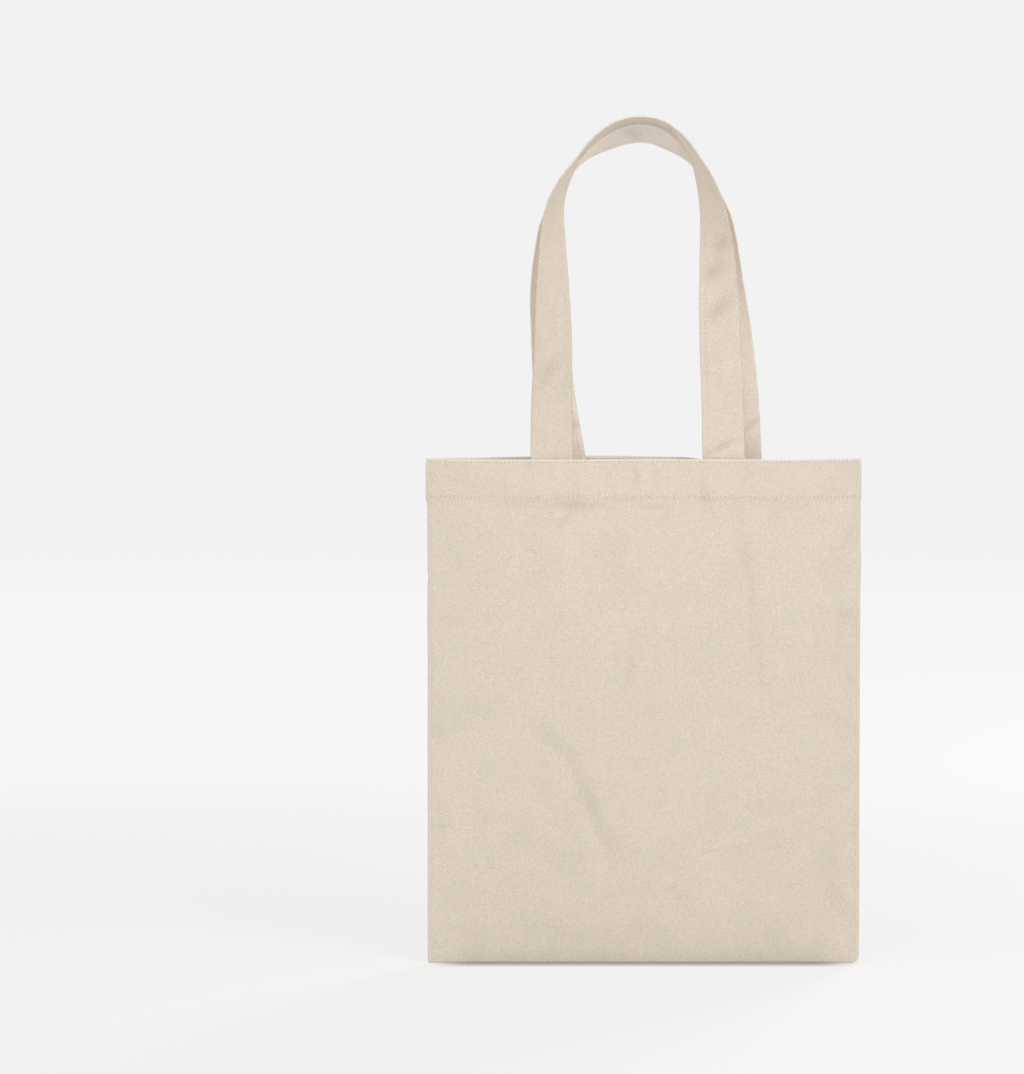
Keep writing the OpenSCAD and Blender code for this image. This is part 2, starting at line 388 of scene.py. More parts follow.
def woven(name, colour, flecks, rows=()):
    """Plain-woven natural cotton: threads over and under, uneven yarns, soft mottling and seed flecks."""
    f = Finish(name, roughness=0.92, sheen=0.12)
    u, v = f.across_and_up(f.node("ShaderNodeTexCoord", output=UV))
    # yarns wander a little, so the rows are never quite straight or evenly spaced
    sway_u = (f.noise(f.vector(u * 300, v * 40), 1.0) - 0.5) * (1.1 * YARN_PITCH)
    sway_v = (f.noise(f.vector(u * 40, v * 300, 5.0), 1.0) - 0.5) * (1.1 * YARN_PITCH)
    a, b = (u + sway_u) / YARN_PITCH, (v + sway_v) / YARN_PITCH
    wave_a, wave_b = (a * math.pi).sine(), (b * math.pi).sine()
    over = wave_a * wave_b
    # each yarn has its own weight along its length
    warp = f.noise(f.vector(a.floor() * 0.73, b * 0.012), 1.0, 1.0)
    weft = f.noise(f.vector(a * 0.012, b.floor() * 0.73, 9.0), 1.0, 1.0)
    upper = wave_a.size() * (0.62 + 0.38 * over) * (0.7 + 0.6 * warp)
    lower = wave_b.size() * (0.62 - 0.38 * over) * (0.7 + 0.6 * weft)
    height = upper.at_least(lower)
    fuzz = f.noise(f.vector(u, v), 2600.0, 2.0)
    lumps = f.noise(f.vector(u * 0.6, v), 420.0, 3.0, 0.6)
    f.emboss(height + fuzz * 0.25 + lumps * 0.5, WEAVE_DEPTH)
    # colour
    mottle = f.noise(f.vector(u, v, 2.0), 38.0, 3.0)
    grain = f.noise(f.vector(u * 0.5, v, 3.0), 700.0, 2.0, 0.7)
    shade = 0.5 + (warp - 0.5) * STREAKS + (weft - 0.5) * (1.5 * STREAKS) + (mottle - 0.5) * 0.5
    # every crossing has its own tone, stronger in bars along the weft
    crossing = f.vector(a.floor(), b.floor())
    cell = f.node("ShaderNodeTexWhiteNoise", {"Vector": crossing}, {"noise_dimensions": "2D"})
    bars = f.span((v * (2 * math.pi / BAR_PITCH)).sine(), 0.1, 0.95)
    shade = shade + (grain - 0.5) + (cell - 0.5) * (1.2 + 0.8 * bars)
    tone = f.blend(f.span(shade, -0.2, 1.2), scaled(colour, 0.9), scaled(colour, 1.08))
    # painted shade in the gaps between the yarns
    painted_gap_shade = f.span(height, 0.1, 0.55, 1.0, 0.0)
    tone = f.blend(painted_gap_shade * 0.22, tone, scaled(colour, 0.62))
    # pale slubs lie along the weft, and a few dark seed flecks anywhere
    slub, slub_pick = f.cells(f.vector(u * 55, v * 420))
    pale = f.span(slub, 0.12, 0.3, 1.0, 0.0) * f.span(slub_pick, 0.72, 0.78)
    tone = f.blend(pale * 0.25, tone, scaled(colour, 1.2))
    seed, seed_pick = f.cells(f.vector(u * 95, v * 95, 4.0))
    dark = f.span(seed, 0.022, 0.05, 1.0, 0.0) * f.span(seed_pick, 1 - flecks, 1.02 - flecks)
    tone = f.blend(dark * 0.75, tone, SEED_HUSK)
    # painted shade darkens the cloth in its creases, along its seams, under its rows of stitches and in its
    # needle holes, mixed with some uneven tone of its own, and a painted highlight lightens it on its folds
    shading = f.node("ShaderNodeAttribute", None, {"attribute_name": "shade"}, FACTOR)
    tone = f.blend(shading, tone, scaled(colour, 0.25))
    tone = f.blend(shading * -1.0, tone, PAINTED_HIGHLIGHT)
    # painted shade in the needle holes along the hem's rows
    if rows:
        uneven = f.span(f.noise(f.vector(u, v, 6.0), 160.0, 1.0), 0.3, 0.7, 0.05, 0.5)
        tone = f.blend(needle_hole_shade(f, u, v, rows) * uneven, tone, scaled(colour, 0.42))
    f.paint(tone)
    return f.material


def thread_finish(name, colour):
    """Spun cotton thread."""
    f = Finish(name, roughness=0.8, sheen=0.15)
    place = f.node("ShaderNodeTexCoord", output=OBJECT)
    fibre = f.noise(place, 2400.0, 2.0)
    uneven = f.noise(place, 90.0, 2.0)
    f.paint(f.blend(fibre * 0.5 + uneven * 0.5, scaled(colour, 0.82), scaled(colour, 1.1)))
    f.emboss(fibre, FIBRE_DEPTH)
    return f.material


canvas = woven("canvas", CANVAS, flecks=0.22, rows=SEWN_ROWS)
strap_canvas = {
    "front": woven("strap_canvas", FRONT_STRAP, flecks=0.12),
    "back": woven("back_strap_painted_paler", PAINTED_PALER_STRAP, flecks=0.12),
}
thread = thread_finish("cotton_thread", THREAD)


# ---- the shape of the cloth ----

def across(x):
    """1 on the flat middle of a panel, 0 at its side seam."""
    return 1 - max(0, (abs(x) - FLAT_HALF) / (HALF_W - FLAT_HALF)) ** 2


def upward(z):
    """0 at the bottom fold, 1 at the rim."""
    return 1 - (1 - max(0, z - FOLD_Z) / (RIM_Z - FOLD_Z)) ** 2


def crease(x, z, start, end, width, height):
    """A soft ridge from start to end, or a valley if height is negative; sizes in mm."""
    ax, az = start[0] * MM, start[1] * MM
    dx, dz = end[0] * MM - ax, end[1] * MM - az
    t = ((x - ax) * dx + (z - az) * dz) / (dx * dx + dz * dz)
    t = min(1, max(0, t))
    gap = math.hypot(x - ax - t * dx, z - az - t * dz)
    return height * MM * bell(gap, width * MM) * (0.45 + 0.55 * math.sin(math.pi * t))


# start, end, width and height of each crease, in mm
CREASES = {"front": [
    # the long fold low down on the left, with the cloth swelling beside it
    ((-91, 210), (-65, 184), 7, -0.8),
    ((-65, 184), (-49, 148), 6.5, -1.1),
    ((-49, 148), (-38, 118), 6.5, -1.3),
    ((-38, 118), (-24, 95), 7, -1.1),
    ((-70, 150), (-44, 92), 9, 0.8),
    ((-78, 236), (-58, 208), 9, 0.7),
    # the upright fold below the right strap
    ((84, 402), (96, 312), 6.5, -0.9),
    ((96, 312), (103, 240), 7.5, -0.7),
    ((98, 395), (118, 250), 9, 0.6),
    ((-21, 380), (-24, 330), 7, -0.7),
    ((-6, 292), (-12, 250), 5, -0.7),
    ((-82, 269), (-74, 246), 2, -0.5),
    # dents along the side seams
    ((-188, 339), (-168, 338), 2, -0.5),
    ((-186, 303), (-162, 305), 3.5, -0.5),
    ((-184, 204), (-172, 204), 6, -0.8),
    ((-184, 120), (-172, 121), 6, -1.0),
    ((180, 384), (180, 372), 4, -0.9),
    ((170, 312), (184, 306), 5, -0.8),
    ((180, 268), (180, 193), 2, -0.5),
    # slack cloth in the bottom corners and along the bottom
    ((160, 74), (176, 50), 8, -0.9),
    ((146, 112), (176, 78), 11, -0.5),
    ((105, 26), (124, 14), 9, -0.5),
    ((-110, 28), (-20, 20), 10, -0.5),
    ((-20, 32), (50, 22), 12, -0.35),
    # puckers at the ends of the straps
    ((-62, 404), (-76, 380), 3.5, -0.9),
    ((52, 420), (58, 398), 2.2, -0.8),
    ((46, 420), (52, 396), 2.6, 0.5),
    ((-8, 440), (-6, 414), 2.6, -0.9),
    ((9, 441), (10, 418), 2.6, -0.7),
    ((-140, 405), (-100, 403), 4, -0.5),
    ((-86, 404), (-33, 403), 3.5, -1.2),
    ((-9, 403), (20, 402), 3, -0.9),
    ((49, 418), (53, 397), 2.2, -1.2),
    ((98, 404), (150, 403), 4, -0.4),
    # broad swellings in the middle
    ((30, 330), (70, 240), 24, 0.9),
    ((-150, 250), (-120, 215), 14, 0.5),
], "back": [
    ((60, 210), (18, 100), 6, -1.2),
    ((74, 200), (36, 104), 9, 0.8),
    ((-90, 400), (-104, 290), 6, -0.9),
    ((-170, 330), (-182, 300), 6, -0.8),
    ((150, 110), (180, 60), 10, -0.7),
    ((52, 404), (60, 380), 3, -0.7),
    ((-58, 404), (-20, 402), 4, -0.6),
    ((-30, 300), (-70, 220), 20, 0.8),
]}


def folds(side, x, z):
    """How far the creases lift the cloth, or sink it if less than 0."""
    return sum(crease(x, z, *c) for c in CREASES[side])


def painted_cloth_shade_and_tone(side, x, z):
    """How much painted shade the cloth has in its creases, along its seams, under the hem's row of stitches
    and beside the strap ends, with some uneven tone of its own; less than 0 where a painted highlight makes
    it pale at the rim and along the seams.
    """
    seed = LUMPS[side]
    # painted shade in the creases
    dark = 0.09 * max(0, -folds(side, x, z) / MM)
    # painted shadow under the hem's row of stitches
    dark += bell(z - HEM_ROW_Z + 2.4 * MM, 2.4 * MM) * (0.03 + 0.16 * max(0, ripple(x, 0, 38 * MM, seed + 8)))
    # painted shade along the line of each side seam
    dark += 0.05 * bell(HALF_W - abs(x) - 3.1 * MM, 0.7 * MM)
    # painted shade along the edges of the strap ends inside the hem
    for middle in ends_x(side):
        inside = STRAP_W / 2 - abs(x - middle)
        dark += 0.03 * bell(inside + 0.8 * MM, 1.6 * MM) * ease(STRAP_END_Z - 3 * MM, STRAP_END_Z + 2 * MM, z)
    # painted highlight along the fold at the rim and along the side edges
    pale = 0.3 * ease(RIM_Z - 2 * MM, RIM_Z - 0.8 * MM, z) + 0.05 * bell(HALF_W - abs(x) - 1.6 * MM, 0.7 * MM)
    # uneven tone of the cloth itself
    dark += 0.03 * ripple(x, z, 26 * MM, seed + 9) + 0.02 * ripple(x, z, 90 * MM, seed + 10)
    return dark + 0.02 - pale


def relief(side, x, z):
    """How far the cloth stands off its plain shape, outwards."""
    seed = LUMPS[side]
    out = folds(side, x, z)
    out += 1.0 * MM * ripple(x, z, 105 * MM, seed) + 0.5 * MM * ripple(x, z, 42 * MM, seed + 1)
    out += 0.17 * MM * ripple(x, z, 17 * MM, seed + 2) + 0.06 * MM * ripple(x, z, 7 * MM, seed + 3)
    # the hem stands a little proud, and its rows of stitches pull the cloth in and pucker it
    out += 0.6 * MM * ease(HEM_Z - 1 * MM, HEM_Z + 4 * MM, z)
    near_hem = bell(z - HEM_ROW_Z, 1.7 * MM)
    out -= near_hem * (0.42 + 0.2 * ripple(x, z, 5 * MM, seed + 5)) * MM
    out += bell(z - HEM_ROW_Z + 6 * MM, 7 * MM) * 0.5 * MM * ripple(x, z * 0.3, 9 * MM, seed + 6)
    near_rim = bell(z - RIM_ROW_Z, 1.3 * MM)
    out -= near_rim * (0.22 + 0.14 * ripple(x, z, 6 * MM, seed + 7)) * MM
    # the strap ends show through the hem
    if z > STRAP_END_Z - 4 * MM:
        up = ease(STRAP_END_Z - 3 * MM, STRAP_END_Z + 2 * MM, z)
        for middle in ends_x(side):
            inside = STRAP_W / 2 - abs(x - middle)
            out += 0.45 * MM * up * ease(-1.4 * MM, 1.4 * MM, inside)
            out -= 0.35 * MM * up * bell(inside + 1.5 * MM, 2.0 * MM)
    # everything settles at the seams
    settle = ease(0, 14 * MM, HALF_W - abs(x)) * ease(0, 16 * MM, z)
    return out * settle - 0.25 * MM * bell(HALF_W - abs(x) - 3.1 * MM, 0.8 * MM) * ease(0, 8 * MM, z)


def stand(side, x, z):
    """Distance of a panel's outer face from the middle of the bag."""
    plain = EDGE_Y + BELLY * across(x) * upward(z) + relief(side, x, z)
    over = max(0, abs(x) - (HALF_W - ROLL)) / ROLL
    under = max(0, ROLL - z) / ROLL
    return plain * math.sqrt(max(0, 1 - over * over)) * math.sqrt(max(0, 1 - under * under))


def outline(x, z):
    """Rounds the bottom corners and lets the side edges wander; gives the new x and z."""
    corner = 7 * MM if x > 0 else 2.5 * MM
    a = (abs(x) - (HALF_W - corner)) / corner
    b = (corner - z) / corner
    if a > 0 and b > 0:
        a, b = a * math.sqrt(1 - b * b / 2), b * math.sqrt(1 - a * a / 2)
        x, z = math.copysign(HALF_W - corner + a * corner, x), corner - b * corner
    near = ease(HALF_W - 30 * MM, HALF_W, abs(x))
    if x < 0:
        x -= near * 0.9 * MM * ease(HEM_Z - 7 * MM, HEM_Z + 1 * MM, z)
        x += near * 0.6 * MM * bell(z - 341 * MM, 4 * MM)
    else:
        x += near * 0.9 * MM * bell(z - 351 * MM, 14 * MM)
    x += near * 0.25 * MM * ripple(z, x, 40 * MM, 12) * ease(0, 20 * MM, z)
    return x, z


def rim_wave(side, x):
    """How far the rim stands above its plain height."""
    fade = ease(0, 40 * MM, HALF_W - abs(x))
    if side == "front":
        return 0.35 * MM * ripple(x, 0, 70 * MM, 21) * fade
    high = 1.9 * MM * bell(x + 45 * MM, 75 * MM)
    low = 2.6 * MM * ease(35 * MM, 62 * MM, x)
    return (high - low) * fade


def lifted(rise, z):
    """The share of the rim's rise that reaches down to this height."""
    return rise * ease(RIM_Z - 110 * MM, RIM_Z, z)


def panel_point(side, x, place):
    """A point of the panel's cloth; place is on the wall, over the fold at the rim, or inside on the hem."""
    sign = OUTWARD[side]
    kind, value = place
    rise = rim_wave(side, x)
    if kind == "wall":
        new_x, new_z = outline(x, value)
        spot = Vector((new_x, sign * stand(side, x, value), new_z + lifted(rise, value)))
        return spot, (x, value), painted_cloth_shade_and_tone(side, x, value)
    new_x, _ = outline(x, RIM_Z)
    face = stand(side, x, RIM_Z)
    thick = min(HEM_T, 0.6 * face)
    if kind == "fold":
        angle = math.radians(value)
        y = face - thick / 2 + thick / 2 * math.cos(angle)
        z = RIM_Z - thick / 2 + thick / 2 * math.sin(angle) + rise
        # painted highlight on the fold at the rim
        return Vector((new_x, sign * y, z)), (x, RIM_Z + value / 180 * TURN), -0.4
    y = stand(side, x, value)
    y -= min(HEM_T, 0.6 * y)
    spot = Vector((new_x, sign * y, value + lifted(rise, value)))
    # painted highlight on the inside of the hem near the rim
    pale = 0.45 * ease(RIM_Z - 7 * MM, RIM_Z - 3 * MM, value)
    return spot, (x, 2 * RIM_Z - value + TURN), -pale


def panel(side):
    """One panel of canvas with its hem turned in at the mouth."""
    edge = [HALF_W - ROLL * (1 - math.sin(math.radians(k * 9))) for k in range(11)]
    right = joined(even(0, HALF_W - 6 * MM, 2.5 * MM), even(HALF_W - 6 * MM, HALF_W - ROLL, 0.6 * MM), edge)
    columns = [-x for x in reversed(right)] + right[1:]
    bottom = [ROLL * (1 - math.cos(math.radians(k * 15))) for k in range(7)]
    top = RIM_Z - HEM_T / 2
    wall = joined(bottom, even(ROLL, HEM_Z - 16 * MM, 3 * MM), even(HEM_Z - 16 * MM, top, 1.2 * MM))
    rows = [("wall", z) for z in wall]
    rows += [("fold", k * 30) for k in range(1, 6)]
    rows += [("hem", z) for z in even(top, HEM_Z, 2 * MM)]
    sheet = lattice(columns, rows, lambda x, row: panel_point(side, x, row))
    face_towards(sheet, (0, OUTWARD[side], 0), sample=len(sheet.faces) // 3)
    cloth = piece(f"{side}_panel_cloth", sheet, canvas, thickness=PLY)
    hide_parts(f"{side}_panel", f"{side}_hem")
    return cloth


def open_with(obj, side):
    """Bakes the object's placing into its mesh."""
    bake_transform(obj)


def hem_stitches(side, name, row_z, seed):
    """One row of stitches, as it shows outside and as it shows inside on the hem."""
    rng = random.Random(seed)
    sign = OUTWARD[side]
    bm = bmesh.new()

    def inner_depth(x):
        """How far off the hem's inside a stitch lies: over the strap ends it passes over the strap too."""
        over = [ease(-1.2 * MM, 0.2 * MM, STRAP_W / 2 - abs(x - middle)) for middle in ends_x(side)]
        return 0.05 * MM + (STRAP_T + 0.1 * MM) * max(over)

    for kind, facing in (("wall", sign), ("hem", -sign)):
        for n in range(HEM_STITCHES):
            x = -HEM_STITCH_HALF + (n + 0.5) * HEM_STITCH
            ends = []
            for reach in (-0.4 * HEM_STITCH, 0.4 * HEM_STITCH):
                spot = panel_point(side, x + reach, (kind, row_z))[0]
                lift = 0.1 * MM if kind == "wall" else inner_depth(x + reach)
                ends.append(spot + Vector((0, facing * lift, 0)))
            along = ends[1] - ends[0]
            along.z += rng.uniform(-0.12, 0.04) * HEM_STITCH
            length = HEM_STITCH * rng.uniform(0.78, 0.86)
            width = 0.75 * MM * rng.uniform(0.9, 1.1)
            add_stitch(bm, (ends[0] + ends[1]) / 2, along, Vector((0, facing, 0)), length, width, 0.5 * MM)
    row = piece(f"{side}_{name}_stitches", bm, thread)
    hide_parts(f"{side}_{name}_thread")
    open_with(row, side)
    return row


# ---- handles ----

ROOT_Y = MOUTH_HALF - STRAP_DEPTH - STRAP_T / 2     # where a strap leaves the hem
SHOULDER_Y = max(ROOT_Y, STRAP_W / 2 + 0.5 * MM)    # and where it stands at the shoulder of its arch
SHOULDER_ANGLE = 40                                 # how far round the arch the shoulder is
LEG_H = 199 * MM
ARCH_H = 96 * MM
TILT = {"front": 8, "back": 23}                     # how far the crown leans, in degrees
LEAN = {side: math.radians(angle) for side, angle in TILT.items()}
CROWN_GAP = 0.8 * MM                                # between the two straps at the crown
# how much lower the back strap's arch is, so that its crown shows under the front one
BACK_DROP = STRAP_W / 2 * (math.sin(LEAN["front"]) + math.sin(LEAN["back"])) + STRAP_T - 0.8 * MM
# how far each leg sways to the right at these heights, in mm
HEIGHTS = (445, 495, 545, 595, 640, 675, 705, 745)
SWAY = {
    "front": ((0, -0.5, 0.5, -0.3, -0.1, 0.8, 4.6, 5.2), (0, 0.6, 0.2, 0.4, -0.9, -2.2, -1.3, 5.0)),
    "back": ((0, -4.6, -5.3, -5.0, -1.5, 4.6, 4.2, 2.0), (0, 0.4, -0.7, -2.6, -3.0, -6.5, -6.5, 2.0)),
}
# how far each leg has turned edge-on, in degrees, at quarters of the way up to the shoulder
QUARTERS = (0, 0.25, 0.5, 0.75, 1)
TWIST = {
    "front": ((0, 20, 33, 56, 86), (0, 13, 20, 46, 80)),
    "back": ((0, 15, 33, 61, 87), (0, 14, 33, 60, 86)),
}


class Loop:
    """One handle: where its legs stand, and how its arch runs and tilts."""

    def __init__(self, side, centre, half, arch):
        self.side = side
        self.sign = OUTWARD[side]
        self.roots = ends_x(side)
        self.centre = centre
        self.half = half
        self.arch = arch
        self.tilt = LEAN[side]

    def middle(self, s):
        """x and z of the strap's middle; s is 0 to 1 up a leg, 1 to 2 over the arch, 2 to 3 down again."""
        if 1 <= s <= 2:
            turn = math.pi * (s - 1)
            x = self.centre - self.half * math.cos(turn)
            z = RIM_Z + LEG_H + self.arch * math.sin(turn)
        else:
            up = s if s < 1 else 3 - s
            hand = -1 if s < 1 else 1
            root = self.roots[0 if s < 1 else 1]
            x = root + (self.centre + hand * self.half - root) * up
            z = RIM_Z + LEG_H * up
        return x + self.sway(s, z), z

    def sway(self, s, z):
        """The strap's own slight unevenness from side to side."""
        left, right = (through(HEIGHTS, leg, z / MM) for leg in SWAY[self.side])
        return (left + (right - left) * ease(1.35, 1.65, s)) * MM

    def twist(self, s):
        """How far the strap has turned edge-on: by the tables up its legs, by the lean at its crown."""
        left, right = (through(QUARTERS, leg, self.climb(s)) for leg in TWIST[self.side])
        leg = math.radians(left + (right - left) * ease(1.4, 1.6, s))
        return leg + (math.pi / 2 - self.tilt - leg) * ease(0.29, 0.1, abs(s - 1.5))

    def climb(self, s):
        """0 at the rim, 1 at the shoulder and above."""
        top = LEG_H + self.arch * math.sin(math.radians(SHOULDER_ANGLE))
        return min(1, max(0, (self.middle(s)[1] - RIM_Z) / top))

    def stand_off(self, s):
        """How far the strap's middle stands from the middle of the bag."""
        crown = math.sin(math.pi * (s - 1)) ** 8 if 1 < s < 2 else 0
        top = STRAP_W / 2 * math.cos(self.tilt) + (STRAP_T * math.sin(self.tilt) + CROWN_GAP) / 2
        leg = ROOT_Y + (SHOULDER_Y - ROOT_Y) * self.climb(s)
        return self.sign * (leg + (top - leg) * crown)

    def frame(self, s):
        """The strap's middle, the way its outer edge points, and the way its face points."""
        a, b = self.middle(max(0, s - 0.03)), self.middle(min(3, s + 0.03))
        along = Vector((b[0] - a[0], 0, b[1] - a[1])).normalized()
        flat = ease(0, 0.08, min(s, 3 - s))
        along = (along * flat + Vector((0, 0, 1 if s < 1.5 else -1)) * (1 - flat)).normalized()
        out = Vector((-along.z, 0, along.x))
        twist = self.twist(s)
        wide = Vector((out.x * math.cos(twist), -math.sin(twist), out.z * math.cos(twist)))
        x, z = self.middle(s)
        return Vector((x, self.stand_off(s), z)), wide, along.cross(wide)


front_loop = Loop("front", centre=-9 * MM, half=71 * MM, arch=ARCH_H)
back_loop = Loop("back", centre=-5 * MM, half=79 * MM, arch=ARCH_H - BACK_DROP)

# dents in each strap: start and end as distance across and along it, width and height, in mm
DENTS = {"front": [
    ((-16, 593), (12, 579), 2.4, -0.9),
    ((-14, 586), (6, 574), 3.5, 0.6),
    ((-10, 474), (6, 462), 6, -0.9),
    ((-14, 440), (2, 430), 6, -0.8),
    ((2, 414), (12, 404), 6, -0.7),
    ((-4, 90), (6, 70), 5, -0.5),
    ((0, 150), (6, 128), 4, 0.6),
    ((-10, 250), (8, 244), 5, -0.6),
    ((-6, 330), (10, 322), 4, -0.6),
], "back": [
    ((0, 577), (18, 565), 2.4, -0.9),
    ((2, 571), (18, 558), 4, 0.5),
    ((-18, 26), (-4, 20), 3, -0.9),
    ((-12, 300), (10, 292), 5, -0.8),
    ((-12, 340), (6, 334), 5, -0.7),
    ((-8, 440), (8, 430), 6, -0.6),
]}


def dent(loop, s, w):
    """How far the dents lift the strap, or sink it if less than 0."""
    return 1.3 * sum(crease(w, s * LEG_H, *d) for d in DENTS[loop.side])


def painted_strap_shade_and_tone(loop, s, w):
    """How much painted shade the strap has, with some uneven tone of its own; less than 0 where a painted
    highlight makes it paler.
    """
    # painted shade in the dents and along the groove of the row of stitches
    dark = 0.2 * max(0, -dent(loop, s, w) / MM) + 0.04 * bell(w - STRAP_ROW, 0.9 * MM)
    # uneven tone of the strap itself
    dark += 0.06 * ripple(w, s * LEG_H, 30 * MM, 81) + 0.04 * ripple(w, s * LEG_H, 12 * MM, 82)
    if loop.side == "front":
        # painted shade under the crown, and on the left leg
        dark += 0.2 * ease(6 * MM, -16 * MM, w) * bell(s - 1.5, 0.22)
        dark += 0.05 * ease(1.1, 0.5, s)
    # painted shade along the edges on the legs, where one strap lies over the other, and a painted highlight
    # along the edges on the crown
    edge = 0.2 - 0.55 * bell(s - 1.5, 0.3)
    return dark + edge * ease(STRAP_W / 2 - 0.9 * MM, STRAP_W / 2 - 0.2 * MM, abs(w))


def strap_stations():
    """Places along a strap, numbered as in Loop.middle; inside the hem they are less than 0 or over 3."""
    sewn = (RIM_Z - STRAP_END_Z) / LEG_H
    ends = even(-sewn, 0, 0.02), even(3, 3 + sewn, 0.02)
    return joined(ends[0], even(0, 1, 0.015), even(1, 2, 0.012), even(2, 3, 0.015), ends[1])


def strap_frame(loop, s):
    """The same as the loop's own frame, and carried on down inside the hem."""
    if 0 <= s <= 3:
        return loop.frame(s)
    down = -s if s < 0 else s - 3
    hand = 0 if s < 0 else 1
    z = RIM_Z - down * LEG_H
    x = loop.roots[hand]
    depth = EDGE_Y + BELLY * upward(z) - STRAP_DEPTH - STRAP_T / 2
    wide = Vector((-1 if hand == 0 else 1, 0, 0))
    along = Vector((0, 0, 1 if hand == 0 else -1))
    return Vector((x, loop.sign * depth, z)), wide, along.cross(wide)


def strap_half_thickness(w):
    """Half the strap's thickness at w across it: rounded edges and a groove along the stitches."""
    over = max(0, abs(w) - (STRAP_W / 2 - STRAP_T / 2)) / (STRAP_T / 2)
    round_edge = math.sqrt(max(0, 1 - over * over))
    return STRAP_T / 2 * round_edge - 0.3 * MM * bell(w - STRAP_ROW, 0.9 * MM)


def strap_surface(loop, s, w, side, seed):
    """A point on the strap, w across it, on its outer (1) or inner (-1) face."""
    middle, wide, face = strap_frame(loop, s)
    run = s * LEG_H
    lumps = 0.8 * MM * ripple(w, run, 34 * MM, seed) + 0.26 * MM * ripple(w, run, 11 * MM, seed + 1)
    curl = 0.8 * MM * (w / (STRAP_W / 2)) ** 2 * ripple(0, run, 60 * MM, seed + 2)
    # the strap lies flat where the hem holds it
    free = ease(0, 0.12, min(s, 3 - s)) if 0 < s < 3 else 0
    bump = (lumps + curl) * free + dent(loop, s, w)
    return middle + wide * w + face * (side * strap_half_thickness(w) + bump)


def strap(loop, seed):
    """A handle's strap, in one piece with the ends that are sewn into the hem."""
    half = STRAP_W / 2
    # the lines of points across the strap are closer at its edges and at its row of stitches
    edge = [0, 0.1, 0.35, 0.8, 1.6]
    marks = [-half + e * MM for e in edge]
    marks += [STRAP_ROW + d * MM for d in (-2, -1.1, -0.5, 0, 0.5, 1.1, 2)]
    marks += even(STRAP_ROW + 4.5 * MM, half - 3 * MM, 3.2 * MM) + [half - e * MM for e in reversed(edge)]
    ring = [(w, 1) for w in marks] + [(w, -1) for w in reversed(marks[1:-1])] + [(marks[0], 1)]
    stations = strap_stations()
    length = {stations[0]: 0.05 * seed}
    for a, b in zip(stations, stations[1:]):
        length[b] = length[a] + (strap_frame(loop, b)[0] - strap_frame(loop, a)[0]).length

    def place(column, s):
        w, side = ring[column]
        girth = w if side == 1 else 2 * half - w
        return strap_surface(loop, s, w, side, seed), (girth + 0.9, length[s]), painted_strap_shade_and_tone(loop, s, w)

    sheet = lattice(list(range(len(ring))), stations, place)
    bmesh.ops.remove_doubles(sheet, verts=sheet.verts, dist=1e-7)
    rims = [e for e in sheet.edges if e.is_boundary]
    bmesh.ops.holes_fill(sheet, edges=rims, sides=0)
    bmesh.ops.recalc_face_normals(sheet, faces=sheet.faces)
    side = loop.side
    made = piece(f"{side}_handle_strap", sheet, strap_canvas[side])
    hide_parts(f"{side}_handle", f"{side}_left_strap_end", f"{side}_right_strap_end")
    return made


def strap_stitches(loop, seed):
    """The row of stitches along the strap's inner edge, on both faces."""
    rng = random.Random(seed)
    bm = bmesh.new()
    stations = strap_stations()
    for side in (1, -1):
        track = [strap_surface(loop, s, STRAP_ROW, side, seed) for s in stations]
        ups = [strap_frame(loop, s)[2] * side for s in stations]
        track = [p + up * 0.05 * MM for p, up in zip(track, ups)]
        stitch_row(bm, track, lambda k: ups[k], rng)
    row = piece(f"{loop.side}_handle_stitches", bm, thread)
    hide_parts(f"{loop.side}_handle_thread")
    return row


def swing_with(obj, loop):
    """Bakes the object's placing into its mesh."""
    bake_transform(obj)


# ---- seams ----

ALLOWANCE = 10 * MM                             # from the folded edge to the raw one
BOTTOM_HALF = HALF_W - ALLOWANCE - 1 * MM       # the bottom allowance stops short of the side ones
SEAM_ROW_IN = 3.4 * MM                          # the row of stitches, in from the folded edge


def side_ply(hand, sign):
    """The lines and the place of the points of one ply at a side seam."""
    inner, outer = HALF_W - ALLOWANCE, HALF_W - 2 * MM

    def place(x, z):
        wave = 0.12 * MM * ripple(x * 2, z, 14 * MM, 31 + sign)
        y = sign * (0.06 * MM + max(0, wave) + 0.1 * MM * ease(outer - 4 * MM, inner, x))
        return Vector((hand * x, y, z)), (x + 1.3, z + 2)

    return even(inner, outer, 1.6 * MM), even(4 * MM, RIM_Z - 1.5 * MM, 4 * MM), place


def bottom_ply(sign):
    """The lines and the place of the points of one ply at the bottom seam."""
    def place(x, z):
        wave = 0.12 * MM * ripple(x, z * 2, 14 * MM, 34 + sign)
        return Vector((x, sign * (0.06 * MM + max(0, wave)), z)), (x, z + 2)

    return even(-BOTTOM_HALF, BOTTOM_HALF, 4 * MM), even(3 * MM, FOLD_Z + ALLOWANCE, 1.6 * MM), place


def allowance(name, node, hand):
    """The two plies of cloth inside a seam; hand is -1 at the left, 1 at the right and 0 at the bottom."""
    both = bmesh.new()
    ply = bpy.data.meshes.new("ply")
    for sign in (-1, 1):
        columns, rows, place = side_ply(hand, sign) if hand else bottom_ply(sign)
        sheet = lattice(columns, rows, place)
        face_towards(sheet, (0, sign, 0))
        sheet.to_mesh(ply)
        sheet.free()
        both.from_mesh(ply)
    bpy.data.meshes.remove(ply)
    made = piece(name, both, canvas, thickness=0.55 * MM)
    made.modifiers["ply"].offset = 1
    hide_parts(node)
    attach(made, "base")


